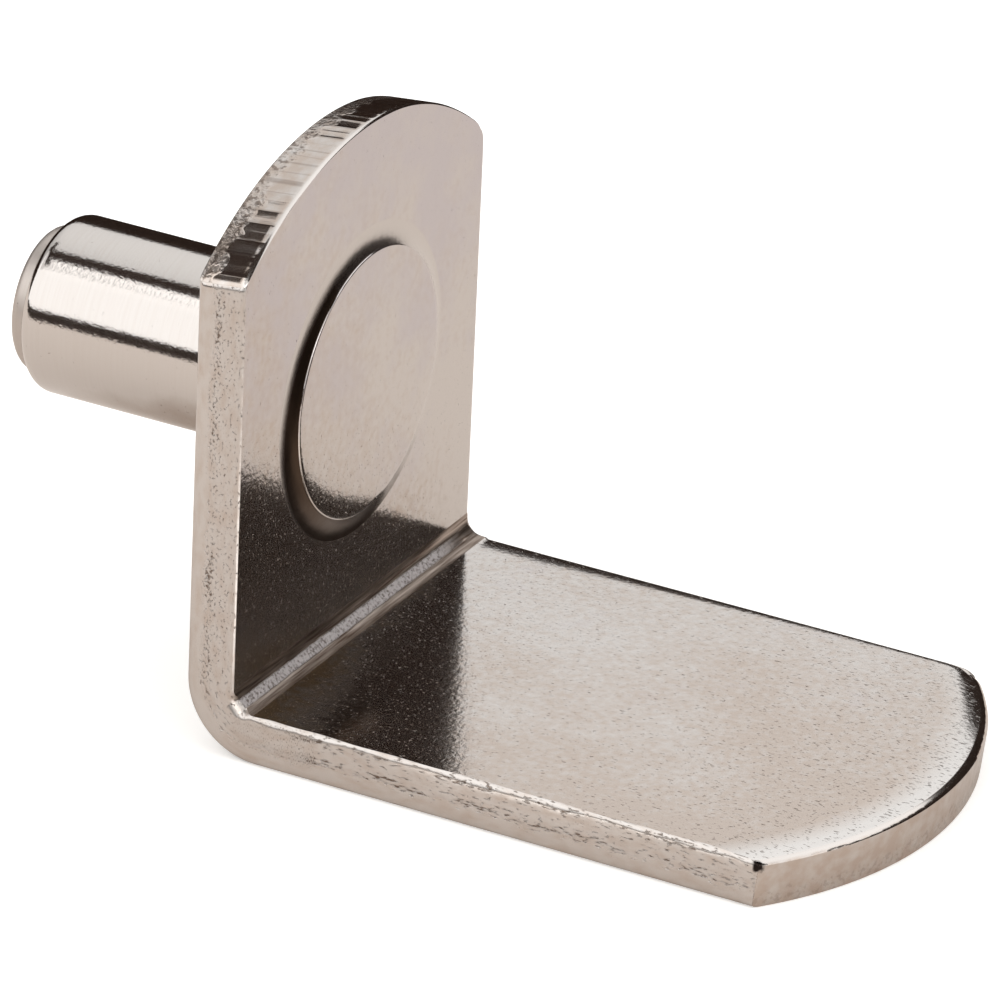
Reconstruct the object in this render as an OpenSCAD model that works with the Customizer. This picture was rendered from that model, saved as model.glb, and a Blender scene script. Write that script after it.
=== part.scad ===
// Angled shelf support: a steel strip with round ends, bent to an L, and a plain pin that is
// riveted through its upright leg. X runs along the arm, Y across the strip and Z up.
// The origin lies where the pin's axis meets the back of the leg.

/* [Angle plate] */
// Width of the strip
strip_w = 13.2; // [10:0.1:18]
// Thickness of the sheet
sheet_t = 1.45; // [1:0.05:2]
// Length of the arm, from the back of the leg to the tip of its round end
arm_len = 19.6; // [14:0.1:40]
// Height of the leg, from the underside of the arm to the top of its round end
leg_h = 16.2; // [14.5:0.1:30]
// Radius of the round ends of the strip
end_r = 10.5; // [8:0.1:25]
// Outside radius of the bend
bend_r = 2.15; // [1.5:0.05:4]
// Radius of the hollow in the inside corner of the bend
hollow_r = 0.6; // [0.2:0.05:1]

/* [Sheared edges] */
// Radius of the rolled edge round the ends, on the inside of the angle
end_roll_r = 0.2; // [0.1:0.05:0.6]
// How far the sheared ends lean in, from the rolled edge to the outside of the angle
end_lean = 0.15; // [0.05:0.01:0.3]
// Radius of the rolled edge along the sides, on the outside of the angle
side_roll_r = 0.2; // [0.05:0.05:0.5]

/* [Pin] */
// Diameter of the pin
pin_d = 5; // [4.5:0.1:7]
// Length of the pin behind the leg, tip included
pin_len = 8.4; // [6:0.1:15]
// Height of the pin's axis above the underside of the arm
axis_h = 8.65; // [7.5:0.05:10]
// Diameter of the stepped tip
tip_d = 4.15; // [3:0.05:4.4]
// Length of the stepped tip
tip_len = 0.5; // [0.3:0.05:1]
// Radius of the round edge of the tip
tip_edge_r = 0.3; // [0.05:0.05:0.3]

/* [Rivet head] */
// Diameter of the neck that passes through the leg
neck_d = 4; // [2.5:0.1:4.4]
// Diameter of the flat top of the head
head_d = 7.65; // [6:0.05:9]
// Height of the head over the leg
head_h = 0.27; // [0.25:0.01:0.6]
// Width of the hollow skirt round the head
skirt_w = 0.65; // [0.3:0.05:0.8]
// Height at which the skirt meets the upright rim of the head
skirt_h = 0.2; // [0.1:0.01:0.22]
// Thickness of the skirt at its outer edge
skirt_edge = 0.03; // [0.02:0.01:0.06]
// Clearance between the neck and its hole, on each side
hole_gap = 0.02; // [0.01:0.01:0.1]

/* [Hidden] */
$fn = 96;
// How far every cut runs past the face that it opens
overrun = 0.5;
// The round between the pin's wall and its tip takes up the whole step
step_r = (pin_d - tip_d) / 2;
// Radius of the skirt's hollow: level at the outer edge, and skirt_w further in at the rim's foot
skirt_rise = skirt_h - skirt_edge;
skirt_r = (pow(skirt_w, 2) + pow(skirt_rise, 2)) / (2 * skirt_rise);
plate_colour = [0.80, 0.77, 0.73];
pin_colour = [0.84, 0.81, 0.77];

// A square corner at the origin less the disc that rounds it, reaching outwards past the corner
module corner_waste(r) {
    difference() {
        translate([-overrun, -overrun]) square(r + overrun);
        translate([r, r]) circle(r);
    }
}

// Turns what lies along the arm into its like on the leg: X and Z change places
module on_leg() {
    rotate(180, [1, 0, 1]) children();
}

// The L of the bent strip seen from its side, with the bend's corner at the origin
module angle_profile() {
    difference() {
        square([arm_len, leg_h]);
        corner_waste(bend_r);
        translate([sheet_t, sheet_t]) difference() {
            square([arm_len, leg_h]);
            corner_waste(hollow_r);
        }
    }
}

// The strip's width swept along that L
module bent_strip() {
    rotate([90, 0, 0]) linear_extrude(strip_w, center = true) angle_profile();
}

// What is sheared off a flat end of the given length to leave it round: its wall leans in towards
// the outside of the angle, and its inside edge is rolled
module end_waste(length) {
    translate([length - end_r, 0, 0]) rotate(-90) rotate_extrude(angle = 180)
        translate([end_r, 0]) {
            polygon([[0, sheet_t + overrun], [0, sheet_t - end_roll_r], [-end_lean, 0],
                     [-end_lean, -overrun], [strip_w / 2, -overrun], [strip_w / 2, sheet_t + overrun]]);
            translate([0, sheet_t]) rotate(180) corner_waste(end_roll_r);
        }
}

// What the rolled outside edge takes off one straight side of the given length
module straight_side_waste(length) {
    translate([bend_r, -strip_w / 2, 0]) rotate([90, 0, 90])
        linear_extrude(length - bend_r + overrun) corner_waste(side_roll_r);
}

// What the rolled outside edge takes off one side of the bend
module bend_side_waste() {
    translate([bend_r, -strip_w / 2, bend_r]) rotate([-90, 0, 0]) rotate(90)
        rotate_extrude(angle = 90) translate([bend_r, 0]) mirror([1, 0]) corner_waste(side_roll_r);
}

// The rolled outside edge along the whole of one side: arm, bend and leg
module side_waste() {
    straight_side_waste(arm_len);
    bend_side_waste();
    mirror([0, 1, 0]) on_leg() straight_side_waste(leg_h);
}

module angle_plate() {
    color(plate_colour) translate([0, 0, -axis_h]) difference() {
        bent_strip();
        end_waste(arm_len);
        on_leg() end_waste(leg_h);
        side_waste();
        mirror([0, 1, 0]) side_waste();
        translate([-overrun, 0, axis_h]) rotate([0, 90, 0])
            cylinder(d = neck_d + 2 * hole_gap, h = sheet_t + 2 * overrun);
    }
}

// Half of the pin's outline: distance from the axis to the right, towards the tip upwards
module pin_half_outline() {
    wall_len = pin_len - tip_len;
    square([pin_d / 2, wall_len - step_r]);
    translate([tip_d / 2, wall_len - step_r]) intersection() {
        circle(step_r);
        square(step_r);
    }
    square([tip_d / 2, pin_len - tip_edge_r]);
    square([tip_d / 2 - tip_edge_r, pin_len]);
    translate([tip_d / 2 - tip_edge_r, pin_len - tip_edge_r]) intersection() {
        circle(tip_edge_r);
        square(tip_edge_r);
    }
}

// Half of the head's outline, with the leg's inside face at zero and its top upwards
module head_half_outline() {
    skirt_out = head_d / 2 + skirt_w;
    square([head_d / 2, head_h]);
    difference() {
        square([skirt_out, skirt_h]);
        translate([skirt_out, skirt_edge + skirt_r]) circle(skirt_r);
    }
}

module support_pin() {
    color(pin_colour) {
        rotate([0, -90, 0]) rotate_extrude() pin_half_outline();
        rotate([0, 90, 0]) cylinder(d = neck_d, h = sheet_t);
        translate([sheet_t, 0, 0]) rotate([0, 90, 0]) rotate_extrude() head_half_outline();
    }
}

angle_plate();
support_pin();
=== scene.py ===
"""Angled shelf support: a nickel-plated steel strip bent to an L, with a pin riveted through its leg.

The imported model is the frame. Each of its two solids gets a finished surface of the same form, and
a small white studio with a soft light and cards for the metal to mirror is set up round them.
"""

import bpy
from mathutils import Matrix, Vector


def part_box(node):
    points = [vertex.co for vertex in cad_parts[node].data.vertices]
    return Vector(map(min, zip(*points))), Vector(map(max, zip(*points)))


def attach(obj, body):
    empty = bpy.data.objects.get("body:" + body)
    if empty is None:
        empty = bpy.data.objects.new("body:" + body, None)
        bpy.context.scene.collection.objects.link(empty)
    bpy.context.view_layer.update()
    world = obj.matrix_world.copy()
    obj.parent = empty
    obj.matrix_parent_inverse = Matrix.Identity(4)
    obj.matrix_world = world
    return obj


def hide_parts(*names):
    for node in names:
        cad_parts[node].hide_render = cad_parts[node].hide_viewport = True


bl_info = {
    "name": "Angled Shelf Support",
    "version": (1, 0, 0),
    "blender": (4, 5, 0),
    "location": "3D View > Sidebar > Shelf Support",
    "description": "Builds a bent strip with a riveted pin, nickel-plated, and a small studio for it",
    "category": "Object",
}

import math
from functools import partial

import bpy
import numpy as np
from mathutils import Matrix, Vector

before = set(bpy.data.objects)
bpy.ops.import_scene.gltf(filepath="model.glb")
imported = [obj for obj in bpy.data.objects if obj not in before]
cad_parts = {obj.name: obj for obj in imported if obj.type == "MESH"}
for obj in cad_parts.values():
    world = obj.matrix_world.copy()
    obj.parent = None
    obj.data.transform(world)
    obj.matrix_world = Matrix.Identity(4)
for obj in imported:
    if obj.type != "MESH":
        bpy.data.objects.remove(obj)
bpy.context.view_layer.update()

MM = 0.001
PLATE_LOW, PLATE_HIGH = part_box("angle_plate")
PIN_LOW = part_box("support_pin")[0]
# Faces round the pin
PIN_ROUND = 256
# Edges that turn by more than this stay sharp
SHARP = math.radians(32)


def linear(hex_colour):
    """Linear RGBA of an sRGB hex colour."""
    s = np.array([int(hex_colour[i:i + 2], 16) / 255 for i in (1, 3, 5)])
    rgb = np.where(s <= 0.04045, s / 12.92, ((s + 0.055) / 1.055) ** 2.4)
    return (*(float(v) for v in rgb), 1.0)


def size(name, description, default):
    """A size that a user may change."""
    return bpy.props.FloatProperty(name=name, description=description, default=default, unit="LENGTH")


def paint(name, description, hex_colour):
    """A colour that a user may change."""
    return bpy.props.FloatVectorProperty(
        name=name, description=description, default=linear(hex_colour), size=4, subtype="COLOR")


class PlateSizes(bpy.types.PropertyGroup):
    """Sizes of the bent strip."""

    width: size("Strip width", "Width of the strip", PLATE_HIGH.y - PLATE_LOW.y)
    thickness: size("Sheet thickness", "Thickness of the sheet", 1.45 * MM)
    arm: size("Arm length", "From the back of the leg to the tip of the arm", PLATE_HIGH.x - PLATE_LOW.x)
    leg: size("Leg height", "From the arm's underside to the top of the leg", PLATE_HIGH.z - PLATE_LOW.z)
    end_radius: size("End radius", "Radius of the strip's round ends", 10.5 * MM)
    end_lean: size("End lean", "How far the sheared ends lean in towards the outside", 0.15 * MM)
    bend_radius: size("Bend radius", "Outside radius of the bend", 2.15 * MM)
    hollow_radius: size("Hollow radius", "Radius of the hollow inside the bend", 0.6 * MM)
    side_roll: size("Side roll", "Width of the rolled outside edge along the sides", 0.2 * MM)
    hole: size("Rivet hole", "Diameter of the hole in the leg", 4.04 * MM)


class PinSizes(bpy.types.PropertyGroup):
    """Sizes of the riveted pin."""

    diameter: size("Pin diameter", "Diameter of the pin's wall", 5.0 * MM)
    length: size("Pin length", "From the back of the leg to the end of the tip", -PIN_LOW.x)
    tip_diameter: size("Tip diameter", "Diameter of the stepped tip", 4.15 * MM)
    tip_length: size("Tip length", "Length of the stepped tip", 0.5 * MM)
    neck: size("Neck diameter", "Diameter of the neck inside the leg", 4.0 * MM)
    head: size("Head diameter", "Diameter of the rivet head's flat top", 7.65 * MM)
    head_height: size("Head height", "Height of the head over the leg", 0.27 * MM)
    skirt: size("Skirt width", "Width of the hollow skirt round the head", 0.65 * MM)
    skirt_height: size("Skirt height", "Height at which the skirt meets the rim of the head", 0.2 * MM)


class FinishColours(bpy.types.PropertyGroup):
    """Colours of the plating and the studio, some of which paint shade, a shadow and a highlight."""

    nickel: paint("Nickel", "Clean nickel plate", "#D6D0CB")
    tarnish: paint("Tarnish", "Nickel plate under a faint brown haze", "#C8BAAF")
    # Also paints shade under the pin, next to the leg
    brown: paint("Browned nickel", "Nickel plate in corners that the tumbler didn't reach", "#9C8878")
    pits: paint("Pits", "Bottom of pits and scratches", "#6B5A4E")
    # Painted highlight: lighter nickel along the end of the arm
    rubbed: paint("Rubbed nickel", "Nickel plate rubbed clean along the end of the arm", "#E0DCD8")
    # Painted shadow: the nearly black speck at the near top corner of the arm
    scale: paint("Black scale", "Black scale on the burr at the near corner of the arm", "#2A2320")
    bloom: paint("Bloom", "Nickel plate under a thin bluish bloom", "#CEC8CB")
    film: paint("Brown film", "Film of old oil next to the bend", "#867057")
    # Painted shade: brown darkening of the arm next to the bend
    groove: paint("Groove", "Dark film on the near side of the hollow round the rivet head", "#54463B")
    # Painted shade on the near, low side of the skirt round the rivet head
    coined: paint("Coined bend", "Rough strip inside the bend", "#DCD8D8")
    floor: paint("Floor", "Studio floor", "#F7F6F4")
    # Painted shade of the floor as the metal mirrors it
    sheet: paint("Mirrored floor", "Floor as the metal mirrors it", "#DED5CE")
    card: paint("Dark card", "Dark cards that the metal mirrors", "#281E19")


def add_node(tree, kind, inputs=None, output=None, **settings):
    """Adds a node: inputs are values or links for its sockets, settings are its own properties.

    Returns the output of the given name, or else the first one that is in use.
    """
    made = tree.nodes.new("ShaderNode" + kind)
    for name, value in settings.items():
        setattr(made, name, value)
    for name, value in (inputs or {}).items():
        if isinstance(value, bpy.types.NodeSocket):
            tree.links.new(value, made.inputs[name])
        else:
            made.inputs[name].default_value = value
    if output:
        return made.outputs[output]
    return next((socket for socket in made.outputs if socket.enabled), None)


def new_material(name, surface, colours, **values):
    """A material whose shader gets what the surface function returns: values or links for its sockets.

    The surface function is handed add, which is add_node for this material's tree.
    """
    material = bpy.data.materials.new(name)
    material.use_nodes = True
    tree = material.node_tree
    tree.nodes.clear()
    add = partial(add_node, tree)
    shader = add("BsdfPrincipled", surface(add, colours, **values))
    add("OutputMaterial", {"Surface": shader})
    return material


def millimetres(add):
    """Place on the piece, in millimetres from the origin."""
    at = add("TexCoord", output="Object")
    return add("VectorMath", {0: at, "Scale": 1 / MM}, operation="SCALE")


def mesh_piece(name, points_mm, faces, materials, material_index, layers=None):
    """One mesh at the origin, smooth but for its sharp edges; points are in millimetres.

    layers holds a pair of surface coordinates for each point, under the layer's name.
    """
    mesh = bpy.data.meshes.new(name)
    mesh.from_pydata((np.asarray(points_mm) * MM).tolist(), [], faces)
    for material in materials:
        mesh.materials.append(material)
    mesh.polygons.foreach_set("material_index", np.asarray(material_index, np.int32))
    mesh.polygons.foreach_set("use_smooth", np.ones(len(mesh.polygons), bool))
    corner = np.empty(len(mesh.loops), np.int32)
    mesh.loops.foreach_get("vertex_index", corner)
    for layer, uv in (layers or {}).items():
        mesh.uv_layers.new(name=layer).data.foreach_set("uv", np.asarray(uv, np.float32)[corner].ravel())
    mesh.update()
    mesh.set_sharp_from_angle(angle=SHARP)
    piece = bpy.data.objects.new(name, mesh)
    bpy.context.scene.collection.objects.link(piece)
    return piece


def steps(low, high, count, ease_low=0.0, ease_high=0.0):
    """count steps from low to high; an ease above 0 draws the steps together towards that end."""
    t = np.linspace(0.0, 1.0, count + 1)
    t = t + ease_low * (t * t - t) * (1 - t) - ease_high * (t * t - t) * t
    return low + (high - low) * t


def ramp(x, low, high):
    """0 below low, 1 above high and a smooth S between them."""
    t = np.clip((x - low) / (high - low), 0.0, 1.0)
    return t * t * (3 - 2 * t)


def smooth_loop(values, passes):
    """Averages each value of a closed loop with its neighbours."""
    for _ in range(passes):
        values = (np.roll(values, 1) + 2 * values + np.roll(values, -1)) / 4
    return values


class Strip:
    """The bent strip in millimetres, with three coordinates: k along it, y across it, h through the sheet.

    Rows of k run from the top of the leg, round the bend, to the tip of the arm. The corner of the
    bend is at the origin here.
    """

    # Half widths of the square block round the rivet hole and of the cells left out of its middle
    BLOCK, CORE = 3.3, 1.65
    # Rows down the leg: above the block, on each side of its core, in the core and below; along the arm
    N_TOP, N_RING, N_CORE, N_LOW, N_ARM = 20, 8, 16, 18, 84
    # Columns on each side of the block
    N_SIDE = 24
    # How far rows and columns draw together towards the rim
    EASE = 0.93
    # Angles of the rows in the bend, with a pair on each border of the flat strip pressed into it
    TURN = np.radians(np.concatenate([
        np.linspace(0, 31, 9), np.linspace(31.6, 58.4, 13), np.linspace(59, 90, 9)]))
    # Depth of that strip, half of its angle, and where it begins and ends to fade, from the far side
    PRESSED, PRESSED_HALF, FADE_FROM, FADE_TO = 0.03, math.radians(13.6), 0.9, 0.6
    # Length over which the arm's rows take up the bow of its end
    ARM_BOW = 6.0
    # Steps round a rolled edge
    N_ROLL = 8
    # Radius of the corners on the near side, and how far a face falls away at its edge
    NEAR_CORNER, FALL = 0.14, 0.06

    def __init__(self, p):
        self.w, self.t = p.width / MM / 2, p.thickness / MM
        self.axis_h = -PLATE_LOW.z / MM
        self.end_r, self.hole_r = p.end_radius / MM, p.hole / MM / 2
        self.bend_r, self.hollow_r = p.bend_radius / MM, p.hollow_radius / MM
        self.lean, self.side_roll = p.end_lean / MM, p.side_roll / MM
        drop = self.end_r - math.sqrt(self.end_r ** 2 - self.w ** 2)
        self.drop, self.leg_corner, self.arm_corner = drop, p.leg / MM - drop, p.arm / MM - drop
        self.n_leg = self.N_TOP + 2 * self.N_RING + self.N_CORE + self.N_LOW
        self.n_bend = len(self.TURN) - 1
        self.rows = self.n_leg + self.n_bend + self.N_ARM + 1
        share = [self.BLOCK / self.w, self.CORE / self.w]
        self.across = np.concatenate([
            steps(-1.0, -share[0], self.N_SIDE, self.EASE),
            steps(-share[0], -share[1], self.N_RING)[1:],
            steps(-share[1], share[1], self.N_CORE)[1:],
            steps(share[1], share[0], self.N_RING)[1:],
            steps(share[0], 1.0, self.N_SIDE, 0.0, self.EASE)[1:]])
        self.cols = len(self.across)

    def face(self, inside, end_leg, end_arm, near, far):
        """One face of the sheet, drawn in from its outline by these insets, as a grid of points.

        Leg: x = h and z runs down from the round end. Bend: a quarter circle about the bend's
        centre, x = c - r cos a and z = c - r sin a. Arm: z = h and x runs out to the round end.
        A row near an end is bowed by the end's arc. The inside face falls away towards its far edge
        and its ends, as sheared sheet does, and a flat strip is pressed into the middle of its bend.
        """
        h = self.t if inside else 0.0
        across = self.across[None, :]
        inset = np.where(across < 0, near[:, None], far[:, None])
        to_edge = np.clip((np.abs(across) * self.w - self.BLOCK) / (self.w - self.BLOCK), 0, 1)
        y = across * self.w - np.sign(across) * to_edge * inset
        r = np.full_like(y, self.hollow_r if inside else self.bend_r)
        start = h + r
        leg = slice(0, self.n_leg + 1)
        bend = slice(self.n_leg, self.n_leg + self.n_bend + 1)
        arm = slice(-self.N_ARM, None)

        leg_top = self.leg_corner - end_leg
        high, low = self.axis_h + self.BLOCK, self.axis_h - self.BLOCK
        fall = steps(1.0, 0.0, self.N_TOP, self.EASE)[:, None]
        fixed = np.concatenate([steps(high, high - self.BLOCK + self.CORE, self.N_RING)[1:],
                                steps(self.axis_h + self.CORE, self.axis_h - self.CORE, self.N_CORE)[1:],
                                steps(self.axis_h - self.CORE, low, self.N_RING)[1:]])[:, None]
        down = steps(0.0, 1.0, self.N_LOW)[1:, None]
        leg_run = np.concatenate([high + fall * (leg_top - high), fixed + 0 * y[:len(fixed)],
                                  low + down * (start[self.n_leg - self.N_LOW + 1:self.n_leg + 1] - low)])
        out = steps(0.0, 1.0, self.N_ARM, 0.6, self.EASE)[1:, None]
        arm_end = self.arm_corner - end_arm
        arm_run = start[arm] + out * (arm_end - start[arm])

        leg_x, y_leg, leg_run = self.round_end(
            leg_run, y[leg], leg_top, high, inside, near[0], far[0],
            width=0.4, far_corner=0.4, far_drop=0.17, far_fall=0.0)
        arm_z, y_arm, arm_run = self.round_end(
            arm_run, y[arm], arm_end, arm_end - self.ARM_BOW, inside, near[-1], far[-1],
            width=1.0, far_corner=0.38, far_drop=0.0, far_fall=0.05)
        rho = r[bend]
        if inside:
            off = self.TURN[:, None] - math.pi / 4
            flat = np.abs(off) < self.PRESSED_HALF
            pressed = (rho + self.PRESSED) / np.cos(np.where(flat, off, 0))
            fade = 1 - ramp(y[bend], self.w - self.FADE_FROM, self.w - self.FADE_TO)
            rho = rho + np.where(flat, fade * (pressed - rho), 0)
        bend_x = start[bend] - rho * np.cos(self.TURN[:, None])
        bend_z = start[bend] - rho * np.sin(self.TURN[:, None])
        x = np.concatenate([h - leg_x, bend_x[1:], arm_run])
        z = np.concatenate([leg_run, bend_z[1:], h - arm_z])
        y = np.concatenate([y_leg, y[bend][1:], y_arm])
        y, z = self.draw_to_hole(y, z)
        return np.stack([x, y, z], -1)

    def round_end(self, run, y, corner, begin, inside, near, far, width, far_corner, far_drop, far_fall):
        """Bows the rows of one end to its arc, rounds its corners and lets its inside face fall away.

        The bow grows from nothing at begin with the square of the way to the corners. The fall is
        quadratic over a band of this width along the end. On the far side the corner has a radius of
        its own, the arc drops and the face falls further.
        """
        gap = corner - run
        r = np.where(y < 0, self.NEAR_CORNER, far_corner)
        limit = self.w - np.where(y < 0, near, far)
        a = np.clip(1 - gap / r, 0, 1)
        b = np.clip((np.abs(y) - limit) / r + 1, 0, 1)
        both = (a > 0) & (b > 0)
        run = np.where(both, corner - r + r * a * np.sqrt(1 - b * b / 2), run)
        y = np.where(both, np.sign(y) * (limit - r + r * b * np.sqrt(1 - a * a / 2)), y)
        bow = np.clip((run - begin) / (corner - begin), 0, 1) ** 2
        arc = np.sqrt(self.end_r ** 2 - np.minimum(np.abs(y), self.w) ** 2) - (self.end_r - self.drop)
        arc = arc - far_drop * ramp(y, 1.5, self.w)
        fall = np.zeros_like(run)
        if inside:
            far_width = width * (0.14 + 0.6 * np.clip(gap / 13.0, 0, 1) ** 2)
            fall = self.FALL * width * np.clip(1 - gap / 1.0, 0, 1) ** 2
            fall = fall + far_fall * ramp(y, 2.0, 5.5) * np.clip(1 - gap / 0.45, 0, 1) ** 2
            fall = fall + self.FALL * far_width * np.clip(1 - (limit - y) / far_width, 0, 1) ** 2 * (y > 0)
        return fall, y, run + bow * arc

    def draw_to_hole(self, y, z):
        """Draws the square rings between core and block onto rings from the hole's circle to the square."""
        dz = z - self.axis_h
        rho = np.maximum(np.abs(y), np.abs(dz))
        inside = (rho <= self.BLOCK + 1e-9) & (np.arange(len(y))[:, None] <= self.n_leg)
        safe = np.maximum(rho, 1e-9)
        flat = np.abs(y) >= np.abs(dz)
        turn = math.pi / 4 * np.where(flat, dz, y) / safe
        cy = np.where(flat, np.sign(y) * np.cos(turn), np.sin(turn))
        cz = np.where(flat, np.sin(turn), np.sign(dz) * np.cos(turn))
        s = np.clip((rho - self.CORE) / (self.BLOCK - self.CORE), 0, 1)
        new_y = (1 - s) * self.hole_r * cy + s * self.BLOCK * y / safe
        new_z = (1 - s) * self.hole_r * cz + s * self.BLOCK * dz / safe
        return np.where(inside, new_y, y), np.where(inside, self.axis_h + new_z, z)


def strip_surface(p):
    """Points, faces, material numbers and edge coordinates of the whole strip.

    Its two faces are grids. The rim joins their edges: a quarter ellipse for each rolled edge and a
    straight wall between them. A block of cells is left out of both faces where the rivet passes,
    and the wall of the hole joins the two circles.
    """
    s = Strip(p)
    k, y_mm = np.arange(s.rows), s.across * s.w
    bend_end = s.n_leg + s.n_bend
    in_bend = ramp(k, s.n_leg + 1, s.n_leg + 9) * (1 - ramp(k, bend_end - 9, bend_end - 1))
    on_arm = ramp(k, bend_end - 4, bend_end + 4)
    # Widths of the rolled inside edges: wider in the bend, and uneven along the arm's near side
    wavy = 1 + on_arm * (0.22 * np.sin(0.61 * k) + 0.18 * np.sin(0.23 * k + 1.0))
    near, far = (0.07 + 0.025 * on_arm + 0.2 * in_bend) * wavy, 0.085 + 0.095 * in_bend
    side = np.full(s.rows, s.side_roll)
    far_half = ramp(y_mm, 0.0, 5.5)
    roll_leg = np.full(s.cols, 0.06)
    roll_arm = 0.2 + 0.08 * far_half
    roll_out_end = 0.05
    none_row, none_col = np.zeros(s.rows), np.zeros(s.cols)
    lean = none_col + s.lean

    inner = s.face(True, roll_leg, roll_arm, near, far).reshape(-1, 3)
    outer = s.face(False, lean + roll_out_end, lean + roll_out_end, side, side).reshape(-1, 3)
    inner_line = s.face(True, none_col, none_col, none_row, none_row).reshape(-1, 3)
    outer_line = s.face(False, lean, lean, none_row, none_row).reshape(-1, 3)

    # The edge of a grid as one closed loop: up the near side, over the leg, down the far side, over the arm
    grid = np.arange(s.rows * s.cols).reshape(s.rows, s.cols)
    loop = np.concatenate([grid[::-1, 0][:-1], grid[0, :-1], grid[:-1, -1], grid[-1, ::-1][:-1]])
    row, col = loop // s.cols, loop % s.cols
    on_leg_end, on_arm_end = row == 0, row == s.rows - 1
    on_end = on_leg_end | on_arm_end
    on_near = (col == 0) & ~on_end
    # Depths of the rolled edges, into the sheet from its inside and from its outside
    depth_in = np.where(col == 0, near[row] * (1.8 - 0.8 * in_bend[row]), far[row])
    depth_in = np.where(on_leg_end, 0.1, np.where(on_arm_end, 0.12 + 0.1 * far_half[col], depth_in))
    depth_in = smooth_loop(depth_in, 4)[:, None]
    depth_out = smooth_loop(np.where(on_end, roll_out_end, s.side_roll), 4)[:, None]

    a, b = inner_line[loop], outer_line[loop]
    down = (b - a) / np.linalg.norm(b - a, axis=1, keepdims=True)
    turn = np.radians(steps(0.0, 90.0, s.N_ROLL))[1:, None, None]
    # The part of the quarter ellipse that each rolled inside edge shows, in degrees
    least = np.where(on_leg_end, 40.0, np.where(on_arm_end, 15.0 - 12.0 * far_half[col], 38.0 * on_near))
    least = np.radians(smooth_loop(least, 3))[:, None]
    most_side = 90.0 - 5.0 * on_near
    most = np.where(on_leg_end, 80.0, np.where(on_arm_end, 38.0 + 40.0 * far_half[col], most_side))
    most = np.radians(smooth_loop(most, 3))[:, None]
    part = least + (most - least) * steps(0.0, 1.0, s.N_ROLL)[1:, None, None]
    roll_in = (inner[loop]
               + (a - inner[loop]) * (np.sin(part) - np.sin(least)) / (np.sin(most) - np.sin(least))
               + down * depth_in * (np.cos(least) - np.cos(part)) / (np.cos(least) - np.cos(most)))
    roll_out = outer[loop] + (b - outer[loop]) * np.sin(turn) - down * depth_out * (1 - np.cos(turn))
    wall = steps(0.0, 1.0, s.N_ROLL)[1:-1, None, None]
    rim = np.concatenate([roll_in, roll_in[-1] + (roll_out[-1] - roll_in[-1]) * wall, roll_out[::-1]])

    n_face, n_loop = len(inner), len(loop)
    points = np.concatenate([inner, outer, rim.reshape(-1, 3)])
    quads = np.stack([grid[:-1, :-1], grid[:-1, 1:], grid[1:, 1:], grid[1:, :-1]], -1)
    r0, c0 = s.N_TOP + s.N_RING, s.N_SIDE + s.N_RING
    keep = np.ones(quads.shape[:2], bool)
    keep[r0:r0 + s.N_CORE, c0:c0 + s.N_CORE] = False
    number = np.zeros(keep.shape)
    number[s.n_leg:bend_end] = 3
    ids = np.concatenate([loop[None], 2 * n_face + np.arange(len(rim) * n_loop).reshape(len(rim), n_loop),
                          loop[None] + n_face])
    nxt = np.roll(ids, -1, axis=1)
    rim_quads = np.stack([ids[:-1], nxt[:-1], nxt[1:], ids[1:]], -1)
    both = on_end & np.roll(on_end, -1)
    rim_number = np.broadcast_to(np.where(both & on_arm_end, 4, 1 + both), rim_quads.shape[:2])
    cut = grid[r0:r0 + s.N_CORE + 1, c0:c0 + s.N_CORE + 1]
    circle = np.concatenate([cut[0, :-1], cut[:-1, -1], cut[-1, ::-1][:-1], cut[::-1, 0][:-1]])
    after = np.roll(circle, -1)
    hole = np.stack([circle, circle + n_face, after + n_face, after], -1)
    faces = np.concatenate([quads[keep][:, ::-1], quads[keep] + n_face, rim_quads.reshape(-1, 4), hole])
    numbers = np.concatenate([number[keep], np.zeros(keep.sum()), rim_number.ravel(), np.zeros(len(hole))])

    # Edge coordinates: millimetres along the rim and share of the way through the sheet
    walk = np.concatenate([[0.0], np.cumsum(np.linalg.norm(np.diff(a, axis=0), axis=1))])
    path = np.concatenate([inner[loop][None], rim, outer[loop][None]])
    through = np.cumsum(np.linalg.norm(np.diff(path, axis=0), axis=2), axis=0)
    uv = np.zeros((len(points), 2))
    uv[ids.ravel(), 0] = np.tile(walk, len(ids))
    uv[ids[1:].ravel(), 1] = (through / through[-1]).ravel()
    # Bend coordinates: millimetres across the strip and share of the bend's angle
    turned = np.zeros((len(points), 2))
    turned[:n_face, 0] = np.tile(y_mm, s.rows)
    turned[:n_face, 1] = np.repeat(np.clip((k - s.n_leg) / s.n_bend, 0, 1), s.cols)
    turned[grid[s.n_leg:bend_end + 1].ravel(), 1] = np.repeat(s.TURN / (math.pi / 2), s.cols)

    used = np.zeros(len(points), bool)
    used[faces.ravel()] = True
    points = points - np.array([0.0, 0.0, s.axis_h])
    layers = {"edge": uv[used], "bend": turned[used]}
    return points[used], (np.cumsum(used) - 1)[faces].tolist(), numbers, layers


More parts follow.
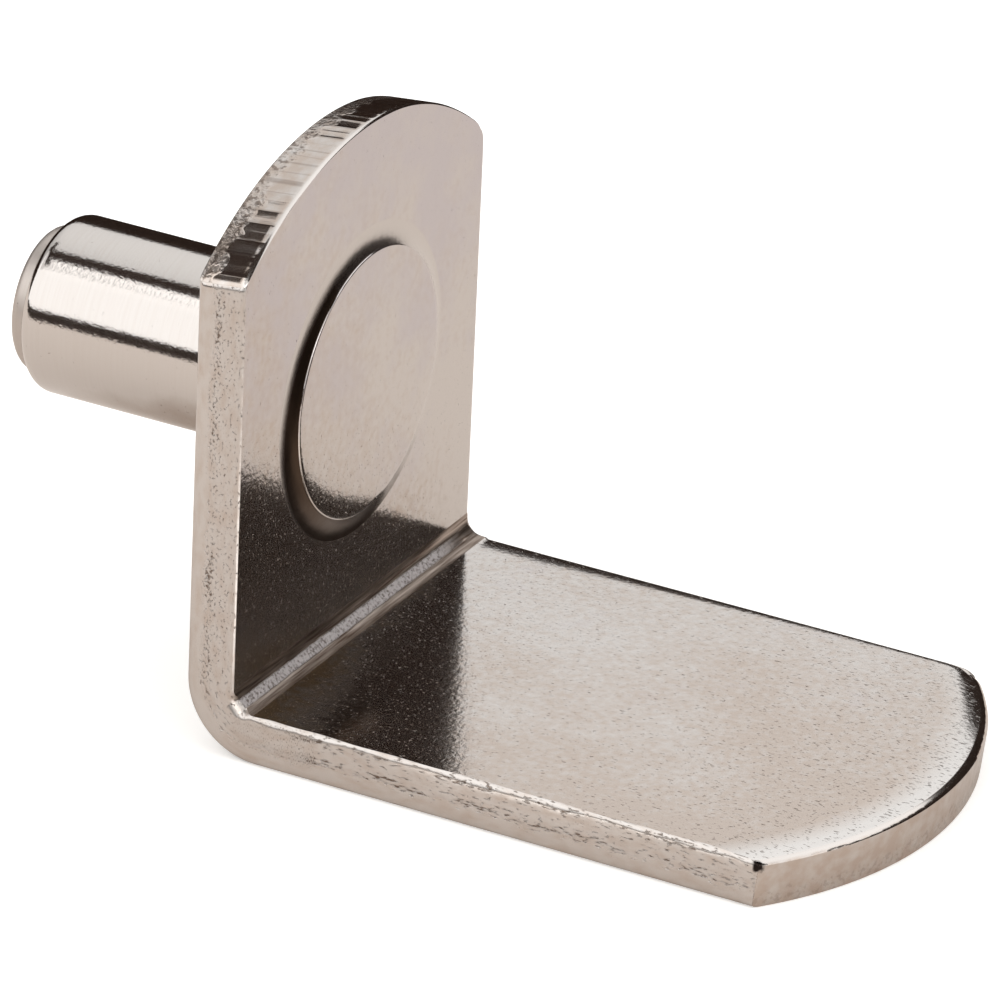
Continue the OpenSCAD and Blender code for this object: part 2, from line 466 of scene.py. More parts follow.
def pin_profile(p, t):
    """Outline of the pin from the middle of its head to the middle of its tip, as rows of (x, radius).

    The head's top falls away quadratically towards its rim. The rim, the step and the tip's edge are
    quarter circles, and the skirt is an arc that is level at its outer edge.
    """
    head_r, top = p.head / MM / 2, t + p.head_height / MM
    skirt, skirt_h, neck_r = p.skirt / MM, p.skirt_height / MM, p.neck / MM / 2
    pin_r, length = p.diameter / MM / 2, p.length / MM
    tip_r, tip_l = p.tip_diameter / MM / 2, p.tip_length / MM
    fall, fall_width = 0.02, 0.8
    edge, rim, foot, tip_edge = 0.0005, 0.04, 0.04, 0.3
    step = pin_r - tip_r
    wall_end = length - tip_l - step
    rise = skirt_h - edge
    skirt_r = (skirt ** 2 + rise ** 2) / (2 * rise)
    q = np.radians(steps(0.0, 90.0, 8))
    flat_r, sweep = steps(0.0, head_r - rim, 40), steps(0.0, skirt, 18)
    return np.concatenate([
        np.stack([top - fall * np.clip((flat_r - head_r + fall_width) / fall_width, 0, 1) ** 2,
                  flat_r], -1),
        np.stack([top - fall - rim + rim * np.cos(q), head_r - rim + rim * np.sin(q)], -1)[1:],
        np.stack([steps(top - fall - rim, t + skirt_h, 2)[1:], np.full(2, head_r)], -1),
        np.stack([t + edge + skirt_r - np.sqrt(skirt_r ** 2 - (skirt - sweep) ** 2),
                  head_r + sweep], -1)[1:],
        np.array([[t, head_r + skirt], [t, neck_r], [0.0, neck_r], [0.0, pin_r - foot], [-foot, pin_r]]),
        np.stack([steps(-foot, -wall_end, 40)[1:], np.full(40, pin_r)], -1),
        np.stack([-wall_end - step * np.sin(q), tip_r + step * np.cos(q)], -1)[1:],
        np.stack([steps(-(length - tip_l), -(length - tip_edge), 4)[1:], np.full(4, tip_r)], -1),
        np.stack([-(length - tip_edge) - tip_edge * np.sin(q),
                  tip_r - tip_edge + tip_edge * np.cos(q)], -1)[1:],
        np.stack([np.full(12, -length), steps(tip_r - tip_edge, 0.0, 12)[1:]], -1)])


def turned_surface(profile, count):
    """A profile of (x, radius) turned about X: y = r cos a, z = r sin a. Its ends close in points."""
    a = np.linspace(0.0, 2 * np.pi, count, endpoint=False)
    body = profile[1:-1]
    ring = np.stack([np.broadcast_to(body[:, :1], (len(body), count)),
                     body[:, 1:] * np.cos(a), body[:, 1:] * np.sin(a)], -1)
    points = np.concatenate([ring.reshape(-1, 3), [[profile[0, 0], 0, 0], [profile[-1, 0], 0, 0]]])
    ids = np.arange(len(body) * count).reshape(len(body), count)
    nxt = np.roll(ids, -1, axis=1)
    quads = np.stack([ids[:-1], ids[1:], nxt[1:], nxt[:-1]], -1).reshape(-1, 4)
    cap = np.stack([np.full(count, len(points) - 2), ids[0], nxt[0]], -1)
    end = np.stack([np.full(count, len(points) - 1), nxt[-1], ids[-1]], -1)
    return points, quads.tolist() + cap.tolist() + end.tolist()


def rolled_nickel(add, colours):
    """Bright nickel on cold-rolled strip: a warm, slightly blurred near-mirror, hazed brown and nicked,
    with painted shade and a painted highlight.
    """
    mm = millimetres(add)

    # Brown haze in clouds about 4 mm across, thicker towards the near front of the angle; that thickening
    # is painted shade
    cloud = add("TexNoise", {"Vector": mm, "Scale": 1 / 4, "Detail": 5.0, "Roughness": 0.6})
    lean = add("VectorMath", {0: mm, 1: (0.02, -0.025, -0.005)}, operation="DOT_PRODUCT")
    haze = add("Math", {0: cloud, 1: lean}, operation="ADD")
    brushed = add("TexNoise", {"Vector": mm, "Scale": 1 / 0.25, "Detail": 4.0})
    haze = add("Math", {0: brushed, 1: 0.9, 2: haze}, operation="MULTIPLY_ADD")
    haze = add("MapRange", {"Value": haze, "From Min": 0.87, "From Max": 1.42})
    tint = add("Mix", {"Factor": haze, "A": colours.nickel, "B": colours.tarnish}, data_type="RGBA")
    # Cooler, bluish clouds about 3 mm across, thicker towards the top of the leg
    bloom = add("TexNoise", {"Vector": mm, "Scale": 1 / 3, "Detail": 6.0, "Roughness": 0.65})
    high = add("VectorMath", {0: mm, 1: (0.0, 0.005, 0.02)}, operation="DOT_PRODUCT")
    bloom = add("Math", {0: bloom, 1: high}, operation="ADD")
    bloom = add("MapRange", {"Value": bloom, "From Min": 0.46, "From Max": 0.68, "To Max": 0.8})
    tint = add("Mix", {"Factor": bloom, "A": tint, "B": colours.bloom}, data_type="RGBA")

    # The last millimetre before the arm's round end is lighter: a painted highlight
    end = add("VectorMath", {0: mm, 1: (9.1, 0.0, 0.0)}, operation="SUBTRACT")
    end = add("VectorMath", {0: end, 1: (1.0, 1.0, 0.0)}, operation="MULTIPLY")
    end = add("VectorMath", {0: end}, operation="LENGTH")
    end = add("MapRange", {"Value": end, "From Min": 9.2, "From Max": 10.0})
    x = add("SeparateXYZ", {"Vector": mm}, "X")
    out = add("MapRange", {"Value": x, "From Min": 10.0, "From Max": 14.0})
    clean = add("Math", {0: end, 1: out}, operation="MULTIPLY")
    tint = add("Mix", {"Factor": clean, "A": tint, "B": colours.rubbed}, data_type="RGBA")

    # Nicks 0.2 mm long and 0.07 mm wide, in three directions, closer together towards the end of the arm
    least = add("MapRange", {"Value": x, "From Min": 1.0, "From Max": 17.0,
                             "To Min": 0.76, "To Max": 0.678})
    most = add("Math", {0: least, 1: 0.08}, operation="ADD")
    nicks = []
    for angle in (35, 75, 115):
        turned = add("Mapping", {"Vector": mm, "Rotation": (0.0, 0.0, -math.radians(angle)),
                                 "Scale": (1 / 0.2, 1 / 0.07, 1 / 0.12)})
        grit = add("TexNoise", {"Vector": turned, "Scale": 1.0, "Detail": 1.0})
        nicks.append(add("MapRange", {"Value": grit, "From Min": least, "From Max": most}))
    grit = add("TexNoise", {"Vector": mm, "Scale": 1 / 0.07, "Detail": 1.0})
    speck = add("MapRange", {"Value": grit, "From Min": 0.69, "From Max": 0.8})
    nick = add("Math", {0: nicks[0], 1: nicks[1]}, operation="MAXIMUM")
    nick = add("Math", {0: nick, 1: nicks[2]}, operation="MAXIMUM")
    stain = add("Math", {0: nick, 1: 0.5}, operation="MULTIPLY")
    colour = add("Mix", {"Factor": stain, "A": tint, "B": colours.pits}, data_type="RGBA")
    rough = add("MapRange", {"Value": nick, "To Min": 0.13, "To Max": 0.3})

    # Distance from the bend, along the arm or up the leg; painted shade browns, darkens and dulls the arm
    # next to the bend, thicker on the near side
    up = add("Math", {0: x.node.outputs["Z"], 1: 7.2}, operation="ADD")
    run = add("Math", {0: x, 1: up}, operation="MAXIMUM")
    film = add("Math", {0: x.node.outputs["Y"], 1: 0.2, 2: run}, operation="MULTIPLY_ADD")
    film = add("Math", {0: cloud, 1: -4.0, 2: film}, operation="MULTIPLY_ADD")
    film = add("Math", {0: brushed, 1: -2.0, 2: film}, operation="MULTIPLY_ADD")
    film = add("MapRange", {"Value": film, "From Min": 0.0, "From Max": -3.0})
    flat = add("MapRange", {"Value": x, "From Min": 1.5, "From Max": 2.0, "To Min": 0.12})
    film = add("Math", {0: film, 1: flat}, operation="MULTIPLY")
    metal = add("MapRange", {"Value": film, "To Min": 1.0, "To Max": 0.7})
    dull = add("MapRange", {"Value": film, "To Min": 0.13, "To Max": 0.21})
    rough = add("Math", {0: rough, 1: dull}, operation="MAXIMUM")
    film = add("MapRange", {"Value": film, "From Max": 0.5})
    colour = add("Mix", {"Factor": film, "A": colour, "B": colours.film}, data_type="RGBA")

    # Grain of the rolled surface, about 0.15 mm, which frays the edges of what it mirrors
    grain = add("TexNoise", {"Vector": mm, "Scale": 1 / 0.15, "Detail": 2.0})
    fine = add("Bump", {"Height": grain, "Distance": 4e-6})
    # Specks that the bending tool left lie within 9 mm of the bend
    rubbed = add("MapRange", {"Value": run, "From Min": 9.0, "From Max": 5.0})
    speck = add("Math", {0: speck, 1: rubbed}, operation="MULTIPLY")
    fine = add("Bump", {"Height": speck, "Distance": 6e-6, "Normal": fine})
    dents = add("Bump", {"Height": nick, "Distance": 2.5e-6, "Normal": fine}, invert=True)
    return {"Base Color": colour, "Metallic": metal, "Roughness": rough, "Normal": dents}


def burr(add, colours, colour):
    """Darkens a colour with a painted shadow, nearly black and 0.4 mm across, at the near top corner of the
    arm.
    """
    mm = millimetres(add)
    away = add("VectorMath", {0: mm, 1: (17.27, -6.6, -7.4)}, operation="DISTANCE")
    fray = add("TexNoise", {"Vector": mm, "Scale": 1 / 0.15, "Detail": 2.0})
    away = add("Math", {0: fray, 1: 0.25, 2: away}, operation="MULTIPLY_ADD")
    dark = add("MapRange", {"Value": away, "From Min": 0.35, "From Max": 0.25})
    return add("Mix", {"Factor": dark, "A": colour, "B": colours.scale}, data_type="RGBA")


def sheared_side(add, colours):
    """Nickel over the sheared long sides: smooth where the blade rubbed, mottled where the steel tore."""
    uv = add("UVMap", uv_map="edge")
    through = add("SeparateXYZ", {"Vector": uv}, "Y")
    mm = add("VectorMath", {0: uv, 1: (1.0, 1.9, 1.0)}, operation="MULTIPLY")
    x = add("SeparateXYZ", {"Vector": millimetres(add)}, "X")
    # The arm's sides tore more than the leg's
    arm = add("MapRange", {"Value": x, "From Min": 1.5, "From Max": 4.0})

    # The torn part lies next to the inside of the angle; tears run in two rows along it
    wave = add("TexNoise", {"Vector": mm, "Scale": 1 / 0.9, "Detail": 3.0})
    sway = add("Math", {0: wave, 1: 0.3, 2: through}, operation="MULTIPLY_ADD")
    torn = add("MapRange", {"Value": sway, "From Min": 0.82, "From Max": 0.72})
    rows = []
    for middle, half in ((0.27, 0.08), (0.66, 0.12)):
        off = add("Math", {0: sway, 1: middle}, operation="SUBTRACT")
        away = add("Math", {0: off}, operation="ABSOLUTE")
        rows.append(add("MapRange", {"Value": away, "From Min": half, "From Max": 0.0}))
    row = add("Math", {0: rows[0], 1: arm}, operation="MULTIPLY")
    row = add("Math", {0: row, 1: rows[1]}, operation="MAXIMUM")
    bunch = add("TexNoise", {"Vector": mm, "Scale": 1 / 1.6, "Detail": 1.0})
    bunch = add("MapRange", {"Value": bunch, "From Min": 0.35, "From Max": 0.65})
    row = add("Math", {0: row, 1: bunch}, operation="MULTIPLY")
    least = add("MapRange", {"Value": row, "To Min": 0.61, "To Max": 0.44})
    most = add("Math", {0: least, 1: 0.07}, operation="ADD")
    # Tears are 0.25 mm long on the arm, pits 0.1 mm on the leg
    stretch = add("MapRange", {"Value": arm, "To Min": 0.9, "To Max": 0.4})
    stretch = add("CombineXYZ", {"X": stretch, "Y": 1.0, "Z": 1.0})
    long_mm = add("VectorMath", {0: mm, 1: stretch}, operation="MULTIPLY")
    grit = add("TexNoise", {"Vector": long_mm, "Scale": 1 / 0.09, "Detail": 3.0})
    pit = add("MapRange", {"Value": grit, "From Min": least, "From Max": most})
    pit = add("Math", {0: pit, 1: torn}, operation="MULTIPLY")
    # The bottom of a tear is dark, and its lips catch the light
    deep = add("Math", {0: grit, 1: 0.05}, operation="SUBTRACT")
    deep = add("MapRange", {"Value": deep, "From Min": least, "From Max": most})
    deep = add("Math", {0: deep, 1: torn}, operation="MULTIPLY")

    # Brown mottling 0.5 mm across, drawn out along the side
    drawn = add("VectorMath", {0: mm, 1: (0.5, 1.0, 1.0)}, operation="MULTIPLY")
    mottle = add("TexNoise", {"Vector": drawn, "Scale": 1 / 0.3, "Detail": 4.0})
    mottle = add("MapRange", {"Value": mottle, "From Min": 0.42, "From Max": 0.85})
    tint = add("Mix", {"Factor": mottle, "A": colours.nickel, "B": colours.tarnish}, data_type="RGBA")
    rubbed = add("MapRange", {"Value": grit, "From Min": 0.35, "From Max": 0.7, "To Max": 0.1})
    rubbed = add("Math", {0: rubbed, 1: torn}, operation="MULTIPLY")
    tint = add("Mix", {"Factor": rubbed, "A": tint, "B": colours.brown}, data_type="RGBA")
    stain = add("Math", {0: deep, 1: 0.9}, operation="MULTIPLY")
    colour = add("Mix", {"Factor": stain, "A": tint, "B": colours.pits}, data_type="RGBA")
    colour = burr(add, colours, colour)
    rough = add("MapRange", {"Value": torn, "To Min": 0.2, "To Max": 0.28})
    swell = add("Bump", {"Height": wave, "Distance": 3e-5})
    dents = add("Bump", {"Height": pit, "Distance": 3e-5, "Normal": swell}, invert=True)
    return {"Base Color": colour, "Metallic": 1.0, "Roughness": rough, "Normal": dents}


def blanked_end(add, colours, depth, ridges, pits):
    """Nickel over the blanked round ends: streaks of the die across the sheet, then a torn band.

    depth is the height of these marks in metres; ridges and pits are how dark theirs get.
    """
    uv = add("UVMap", uv_map="edge")
    through = add("SeparateXYZ", {"Vector": uv}, "Y")
    mm = add("VectorMath", {0: uv, 1: (1.0, 1.5, 1.0)}, operation="MULTIPLY")
    across = add("VectorMath", {0: mm, 1: (1.0, 0.1, 1.0)}, operation="MULTIPLY")
    # Each tooth of the worn die left a shallow scallop 0.38 mm wide
    along = add("SeparateXYZ", {"Vector": mm}, "X")
    drift = add("TexNoise", {"Vector": across, "Scale": 1 / 0.6, "Detail": 2.0})
    place = add("Math", {0: drift, 1: 0.25, 2: along}, operation="MULTIPLY_ADD")
    cell = add("TexVoronoi", {"W": place, "Scale": 1 / 0.38, "Randomness": 0.6}, voronoi_dimensions="1D")
    hump = add("Math", {0: cell, 1: 2.0}, operation="POWER")
    ridge = add("MapRange", {"Value": cell, "From Min": 0.36, "From Max": 0.5})
    fine = add("TexNoise", {"Vector": across, "Scale": 1 / 0.12, "Detail": 2.0})
    hump = add("Math", {0: fine, 1: 0.12, 2: hump}, operation="MULTIPLY_ADD")
    # The rolled edge next to the inside of the angle is smooth
    clear = add("MapRange", {"Value": through, "From Min": 0.06, "From Max": 0.12})
    streak = add("Math", {0: hump, 1: clear}, operation="MULTIPLY")
    tear = add("TexNoise", {"Vector": mm, "Scale": 1 / 0.16, "Detail": 2.0})
    wave = add("TexNoise", {"Vector": across, "Scale": 1 / 0.5, "Detail": 1.0})
    sway = add("Math", {0: wave, 1: 0.5, 2: through}, operation="MULTIPLY_ADD")
    torn = add("MapRange", {"Value": sway, "From Min": 0.85, "From Max": 0.93})
    height = add("Mix", {"Factor": torn, "A": streak, "B": tear})
    pit = add("MapRange", {"Value": tear, "From Min": 0.52, "From Max": 0.6, "To Max": pits})
    pit = add("Math", {0: pit, 1: torn}, operation="MULTIPLY")
    ridge = add("Math", {0: ridge, 1: clear}, operation="MULTIPLY")
    ridge = add("Math", {0: ridge, 1: ridges}, operation="MULTIPLY")
    dark = add("Math", {0: pit, 1: ridge}, operation="MAXIMUM")
    stain = add("Math", {0: dark, 1: 0.7}, operation="MULTIPLY")
    mottle = add("TexNoise", {"Vector": mm, "Scale": 1 / 0.5, "Detail": 4.0})
    mottle = add("MapRange", {"Value": mottle, "From Min": 0.3, "From Max": 0.6})
    mottle = add("Math", {0: mottle, 1: clear}, operation="MULTIPLY")
    tint = add("Mix", {"Factor": mottle, "A": colours.nickel, "B": colours.tarnish}, data_type="RGBA")
    colour = add("Mix", {"Factor": stain, "A": tint, "B": colours.pits}, data_type="RGBA")
    colour = burr(add, colours, colour)
    rough = add("MapRange", {"Value": torn, "To Min": 0.12, "To Max": 0.24})
    marks = add("Bump", {"Height": height, "Distance": depth})
    return {"Base Color": colour, "Metallic": 1.0, "Roughness": rough, "Normal": marks}


def coined_bend(add, colours):
    """Nickel inside the bend: a grey, grainy, dull strip, coined by the tool, between flanks painted brown
    as shade.
    """
    uv = add("UVMap", uv_map="bend")
    across = add("SeparateXYZ", {"Vector": uv}, "X")
    turn = across.node.outputs["Y"]
    mm = millimetres(add)

    # The strip is the middle 30 % of the bend; its borders are frayed and it fades out at the far end
    off = add("Math", {0: turn, 1: 0.5}, operation="SUBTRACT")
    off = add("Math", {0: off}, operation="ABSOLUTE")
    fray = add("TexNoise", {"Vector": mm, "Scale": 1 / 0.3, "Detail": 3.0})
    edge = add("Math", {0: fray, 1: 0.08, 2: off}, operation="MULTIPLY_ADD")
    inside = add("MapRange", {"Value": edge, "From Min": 0.215, "From Max": 0.165})
    near = add("MapRange", {"Value": across, "From Min": 6.0, "From Max": 4.6})
    coin = add("Math", {0: inside, 1: near}, operation="MULTIPLY")

    grain = add("TexNoise", {"Vector": mm, "Scale": 1 / 0.1, "Detail": 3.0, "Roughness": 0.7})
    dark = add("MapRange", {"Value": grain, "From Min": 0.48, "From Max": 0.66, "To Max": 0.7})
    grey = add("Mix", {"Factor": dark, "A": colours.coined, "B": colours.pits}, data_type="RGBA")
    # Painted shade: the flanks in the crease of the bend are dark brown, streaked with drawn lines
    drawn = add("VectorMath", {0: mm, 1: (1.0, 0.05, 1.0)}, operation="MULTIPLY")
    lines = add("TexNoise", {"Vector": drawn, "Scale": 1 / 0.08, "Detail": 2.0})
    lines = add("MapRange", {"Value": lines, "From Min": 0.3, "From Max": 0.7})
    flank = add("Mix", {"Factor": lines, "A": colours.pits, "B": colours.tarnish}, data_type="RGBA")
    colour = add("Mix", {"Factor": coin, "A": flank, "B": grey}, data_type="RGBA")
    rough = add("MapRange", {"Value": coin, "To Min": 0.32, "To Max": 0.9})
    height = add("Math", {0: grain, 1: coin}, operation="MULTIPLY")
    marks = add("Bump", {"Height": height, "Distance": 3e-5})
    return {"Base Color": colour, "Metallic": 1.0, "Roughness": rough, "Normal": marks}


def pressed_skirt(add, colours):
    """Nickel on the skirt that the riveting tool pressed round the head: duller, with painted shade near
    and low.
    """
    mm = millimetres(add)
    # Painted shade: the skirt darkens on its near, low side, away from its outer edge
    low = add("VectorMath", {0: mm, 1: (0.0, 1.0, 0.35)}, operation="DOT_PRODUCT")
    cloud = add("TexNoise", {"Vector": mm, "Scale": 1 / 0.5, "Detail": 3.0})
    place = add("Math", {0: cloud, 1: 1.5, 2: low}, operation="MULTIPLY_ADD")
    near = add("MapRange", {"Value": place, "From Min": 3.2, "From Max": 0.0})
    flat = add("VectorMath", {0: mm, 1: (0.0, 1.0, 1.0)}, operation="MULTIPLY")
    radius = add("VectorMath", {0: flat}, operation="LENGTH")
    z = add("SeparateXYZ", {"Vector": mm}, "Z")
    radius = add("Math", {0: z, 1: 0.06, 2: radius}, operation="MULTIPLY_ADD")
    deep = add("MapRange", {"Value": radius, "From Min": 4.47, "From Max": 4.2})
    near = add("Math", {0: near, 1: deep}, operation="MULTIPLY")
    colour = add("Mix", {"Factor": near, "A": colours.nickel, "B": colours.groove}, data_type="RGBA")
    rough = add("MapRange", {"Value": near, "To Min": 0.22, "To Max": 0.28})
    marks = add("Bump", {"Height": cloud, "Distance": 1e-5})
    return {"Base Color": colour, "Metallic": 1.0, "Roughness": rough, "Normal": marks}


def turned_nickel(add, colours):
    """Nickel on the turned pin: brighter than the strip, with faint lines round it, painted shade
    underneath and a dull tip.
    """
    mm = millimetres(add)
    x = add("SeparateXYZ", {"Vector": mm}, "X")
    tip = add("MapRange", {"Value": x, "From Min": -7.86, "From Max": -7.96})

    # Lines of the lathe, about 0.06 mm apart, and brown painted shade underneath next to the leg
    round_mm = add("VectorMath", {0: mm, 1: (1.0, 0.03, 0.03)}, operation="MULTIPLY")
    lines = add("TexNoise", {"Vector": round_mm, "Scale": 1 / 0.06, "Detail": 2.0})
    lines = add("MapRange", {"Value": lines, "From Min": 0.4, "From Max": 0.7, "To Max": 0.12})
    tint = add("Mix", {"Factor": lines, "A": colours.nickel, "B": colours.tarnish}, data_type="RGBA")
    low = add("VectorMath", {0: mm, 1: (0.13, 0.0, -0.5)}, operation="DOT_PRODUCT")
    cloud = add("TexNoise", {"Vector": mm, "Scale": 1 / 1.2, "Detail": 4.0})
    low = add("Math", {0: cloud, 1: 0.6, 2: low}, operation="MULTIPLY_ADD")
    haze = add("MapRange", {"Value": low, "From Min": 0.25, "From Max": 0.98})
    dull = add("Math", {0: tip, 1: 0.3}, operation="MULTIPLY")
    haze = add("Math", {0: haze, 1: dull}, operation="MAXIMUM")
    tint = add("Mix", {"Factor": haze, "A": tint, "B": colours.brown}, data_type="RGBA")

    # Pits gather in the painted shade
    specks = add("TexNoise", {"Vector": mm, "Scale": 1 / 0.1, "Detail": 2.0})
    least = add("MapRange", {"Value": haze, "To Min": 0.72, "To Max": 0.6})
    most = add("Math", {0: least, 1: 0.07}, operation="ADD")
    pit = add("MapRange", {"Value": specks, "From Min": least, "From Max": most, "To Max": 0.45})
    colour = add("Mix", {"Factor": pit, "A": tint, "B": colours.pits}, data_type="RGBA")
    rough = add("MapRange", {"Value": tip, "To Min": 0.11, "To Max": 0.45})
    marks = add("Bump", {"Height": specks, "Distance": 3e-6})
    return {"Base Color": colour, "Metallic": 1.0, "Roughness": rough, "Normal": marks}


class SHELF_OT_plate(bpy.types.Operator):
    """Builds the bent strip with its round ends, rolled edges and rivet hole"""

    bl_idname = "shelf_support.plate"
    bl_label = "Angle plate"

    def execute(self, context):
        points, faces, numbers, layers = strip_surface(context.scene.shelf_plate)
        colours = context.scene.shelf_colours
        materials = [
            new_material("nickel_on_rolled_strip", rolled_nickel, colours),
            new_material("nickel_on_sheared_side", sheared_side, colours),
            new_material("nickel_on_blanked_leg_end", blanked_end, colours,
                         depth=2.7e-5, ridges=0.5, pits=1.0),
            new_material("nickel_on_coined_bend", coined_bend, colours),
            new_material("nickel_on_blanked_arm_end", blanked_end, colours,
                         depth=1e-5, ridges=0.0, pits=0.3)]
        piece = mesh_piece("angle_plate_nickel", points, faces, materials, numbers, layers)
        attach(piece, "root")
        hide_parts("angle_plate")
        return {"FINISHED"}


class SHELF_OT_pin(bpy.types.Operator):
    """Builds the riveted pin with its stepped tip, neck, skirt and flat head"""

    bl_idname = "shelf_support.pin"
    bl_label = "Support pin"

    def execute(self, context):
        colours = context.scene.shelf_colours
        sizes = context.scene.shelf_pin
        profile = pin_profile(sizes, context.scene.shelf_plate.thickness / MM)
        points, faces = turned_surface(profile, PIN_ROUND)
        # Rows of the head's flat top, of its rim and skirt, and of the wall and tip
        row = profile[1:-2]
        number = np.where(row[:, 0] <= 0.0, 1, np.where(row[:, 1] > sizes.head / MM / 2 - 1e-6, 2, 0))
        numbers = np.concatenate([np.repeat(number, PIN_ROUND), np.zeros(PIN_ROUND), np.ones(PIN_ROUND)])
        materials = [
            bpy.data.materials["nickel_on_rolled_strip"],
            new_material("nickel_on_turned_pin", turned_nickel, colours),
            new_material("nickel_on_pressed_skirt", pressed_skirt, colours)]
        piece = mesh_piece("support_pin_nickel", points, faces, materials, numbers)
        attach(piece, "root")
        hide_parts("support_pin")
        return {"FINISHED"}


def matt_paper(add, colour, glow=0.0):
    """Matt paper or card: one even tone with no shine, and a glow where it is lit from behind."""
    return {"Base Color": colour, "Roughness": 1.0, "Specular IOR Level": 0.0,
            "Emission Color": colour, "Emission Strength": glow}


def studio_sheet(name, points_mm, faces, material):
    """A flat or folded sheet of the studio."""
    mesh = bpy.data.meshes.new(name)
    mesh.from_pydata((np.array(points_mm, float) * MM).tolist(), [], faces)
    mesh.materials.append(material)
    sheet = bpy.data.objects.new(name, mesh)
    bpy.context.scene.collection.objects.link(sheet)
    return sheet


def mirrored_card(name, points_mm, faces, material):
    """A sheet of the studio that only the metal sees."""
    card = studio_sheet(name, points_mm, faces, material)
    card.visible_camera = card.visible_diffuse = card.visible_shadow = False


def lying_card(name, plan_mm, height, material, faces=None):
    """A card that lies level at one height; its outline is given in plan."""
    points = [(x, y, height) for x, y in plan_mm]
    mirrored_card(name, points, faces or [tuple(range(len(points)))], material)


def standing_card(name, plan_mm, low, high, material):
    """A card that stands along a line in plan, from one height to another."""
    plan = np.array(plan_mm, float)
    n = len(plan)
    points = np.concatenate([np.column_stack([plan, np.full(n, low)]),
                             np.column_stack([plan, np.broadcast_to(high, n)])])
    mirrored_card(name, points, [(i, i + 1, n + i + 1, n + i) for i in range(n - 1)], material)


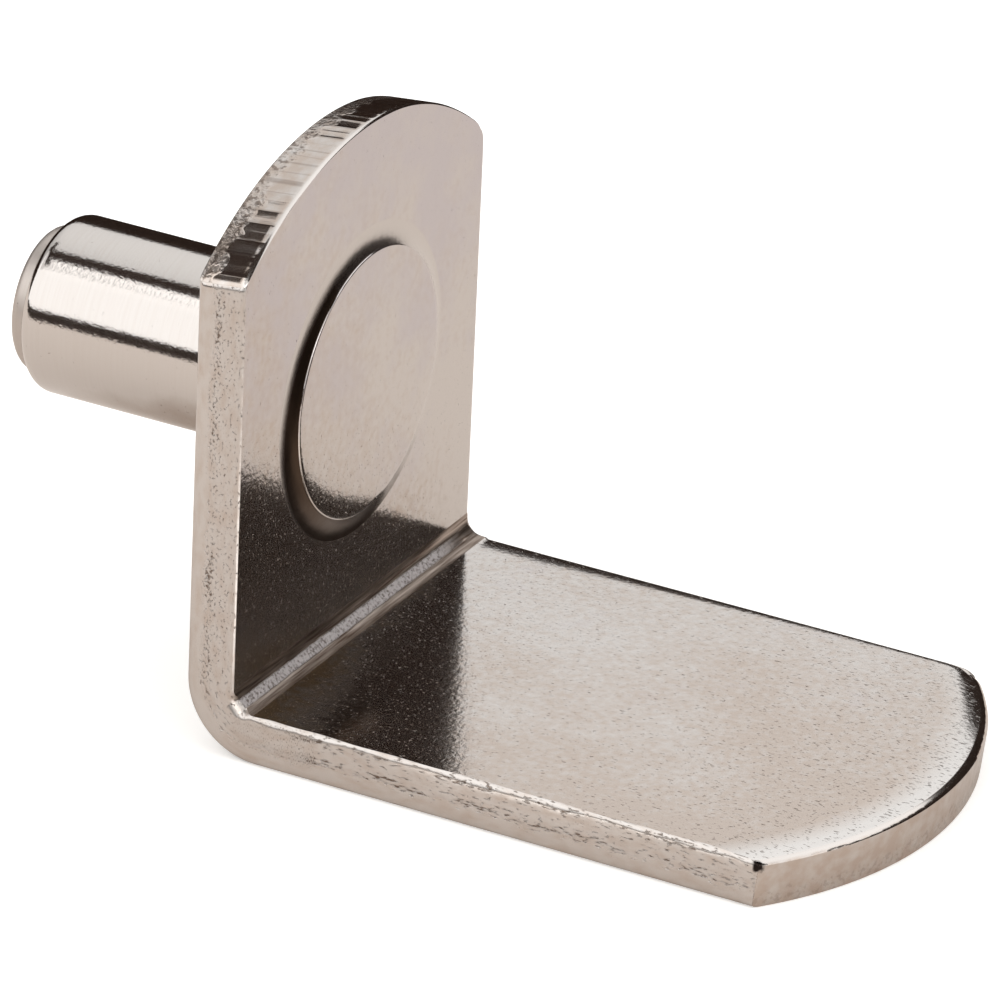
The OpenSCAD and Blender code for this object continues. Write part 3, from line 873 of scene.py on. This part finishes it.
class SHELF_OT_studio(bpy.types.Operator):
    """Sets up the floor, the cards that the metal mirrors, the white tent, the soft light and the camera"""

    bl_idname = "shelf_support.studio"
    bl_label = "Studio"

    def execute(self, context):
        scene = context.scene
        colours = scene.shelf_colours
        self.set_cards(colours)
        self.set_tent(scene)
        self.set_light(scene)
        self.set_camera(scene)
        scene.view_settings.view_transform = "Standard"
        return {"FINISHED"}

    def set_cards(self, colours):
        """Floor, dark cards and white cards, in millimetres."""
        paper = new_material("matt_white_paper", matt_paper, colours.floor, glow=0.35)
        black = new_material("matt_black_card", matt_paper, colours.card)
        grey = new_material("matt_warm_grey_paper", matt_paper, colours.sheet)
        lit = new_material("lit_white_paper", matt_paper, colours.floor, glow=1.2)
        floor_z = PLATE_LOW.z / MM
        half = 2000
        square = [(-half, -half), (half, -half), (half, half), (-half, half)]
        studio_sheet("floor", [(x, y, floor_z) for x, y in square], [(0, 1, 2, 3)], paper)
        # Painted shade: the floor that the metal mirrors is a darker, warmer grey than the floor the camera
        # sees
        lying_card("mirrored_floor", square, floor_z + 0.02, grey)
        # Cards on the floor lie a hair above it
        low = floor_z + 0.04
        mirrored_card("card_side", [(23, -8, low), (200, -60, low), (178, 98, low), (23, 15, low),
                                    (200, -60, 85), (178, 98, 85)], [(0, 1, 2, 3), (1, 4, 5, 2)], black)
        standing_card("card_pin", [(-45, 40), (-19, 40)], 15, 27, black)
        standing_card("card_front", [(-400, -110), (110, -110)], floor_z, 18.5, black)
        standing_card("card_back", [(-600, -60), (-480, 200), (-250, 320), (-110, 320), (0, 320)],
                      floor_z, [215, 190, 145, 135, 240], black)
        standing_card("card_right", [(0, 320), (60, 310), (100, 300), (150, 285), (205, 255), (250, 235),
                                     (200, 150), (178, 98)],
                      floor_z, [259, 251, 234, 225, 260, 278, 188, 148], black)
        standing_card("card_tall", [(178, 98), (190, 68)], 80, 203, black)
        lying_card("card_floor", [(-14, 22), (-14, 320), (-400, 320), (-400, 45), (-90, 32)], low, black)
        lying_card("card_top", [(-400, -86), (300, -86), (300, -4), (-186, -4), (-190, 72), (-400, 72),
                                (-400, -160), (-175, -160), (-175, -86)],
                   300, black, [(0, 1, 2, 3, 4, 5), (6, 7, 8, 0)])
        lying_card("card_high", [(-128, -62), (-94, -62), (-94, -4), (-128, -4)], 150, black)
        lying_card("white_floor", [(4.6, -9.7), (9.2, -9.7), (18.3, -13.3), (13.1, -18.3)], low, lit)
        standing_card("white_card", [(150, -260), (282, -103)], 140, 300, lit)

    def set_tent(self, scene):
        """White all round, and brighter overhead, to the back and to the right."""
        world = bpy.data.worlds.new("white_tent")
        world.use_nodes = True
        tree = world.node_tree
        tent = tree.nodes["Background"]
        tent.inputs["Color"].default_value = (1.0, 1.0, 1.0, 1.0)
        add = partial(add_node, tree)
        way = add("TexCoord", output="Generated")
        up = add("VectorMath", {0: way, 1: (0.5, 0.5, 0.7)}, operation="DOT_PRODUCT")
        strength = add("MapRange", {"Value": up, "To Min": 0.57, "To Max": 1.37})
        tree.links.new(strength, tent.inputs["Strength"])
        scene.world = world

    def set_light(self, scene):
        """One soft light from the left, aimed at the pin's axis."""
        lamp = bpy.data.lights.new("soft_light", "AREA")
        lamp.shape = "RECTANGLE"
        lamp.size, lamp.size_y = 0.6, 0.36
        lamp.energy = 0.6
        soft = bpy.data.objects.new("soft_light", lamp)
        scene.collection.objects.link(soft)
        place = Vector((-147, -200, 160)) * MM
        aim = (-place).to_track_quat("-Z", "Y").to_matrix().to_4x4()
        soft.matrix_world = Matrix.Translation(place) @ aim

    def set_camera(self, scene):
        """Camera at the eye, looking at the aim and rolled a little; a long lens."""
        camera = bpy.data.objects.new("camera", bpy.data.cameras.new("camera"))
        scene.collection.objects.link(camera)
        eye, aim = Vector((117.089, -215.762, 113.892)), Vector((5.225, 1.140, -3.046))
        roll = math.radians(2.556)
        ahead = (aim - eye).normalized()
        level = ahead.cross(Vector((0, 0, 1))).normalized()
        right = level * math.cos(roll) + level.cross(ahead) * math.sin(roll)
        turn = Matrix((right, right.cross(ahead), -ahead)).transposed().to_4x4()
        camera.matrix_world = Matrix.Translation(eye * MM) @ turn
        camera.data.sensor_width, camera.data.lens = 36.0, 360.8
        camera.data.clip_start, camera.data.clip_end = 0.01, 20.0
        scene.camera = camera


class SHELF_PT_panel(bpy.types.Panel):
    """Sidebar panel with the sizes, the colours and one button for each piece"""

    bl_idname = "SHELF_PT_panel"
    bl_label = "Shelf Support"
    bl_space_type = "VIEW_3D"
    bl_region_type = "UI"
    bl_category = "Shelf Support"

    def draw(self, context):
        for group in GROUPS:
            box = self.layout.box()
            values = getattr(context.scene, group)
            for name in values.__annotations__:
                box.prop(values, name)
        for operator in OPERATORS:
            self.layout.operator(operator.bl_idname)


GROUPS = {"shelf_plate": PlateSizes, "shelf_pin": PinSizes, "shelf_colours": FinishColours}
OPERATORS = (SHELF_OT_plate, SHELF_OT_pin, SHELF_OT_studio)


def register():
    for cls in (*GROUPS.values(), *OPERATORS, SHELF_PT_panel):
        bpy.utils.register_class(cls)
    for name, cls in GROUPS.items():
        setattr(bpy.types.Scene, name, bpy.props.PointerProperty(type=cls))


def unregister():
    for name in GROUPS:
        delattr(bpy.types.Scene, name)
    for cls in reversed((*GROUPS.values(), *OPERATORS, SHELF_PT_panel)):
        bpy.utils.unregister_class(cls)


def main():
    register()
    bpy.ops.shelf_support.plate()
    bpy.ops.shelf_support.pin()
    bpy.ops.shelf_support.studio()


if __name__ == "__main__":
    main()
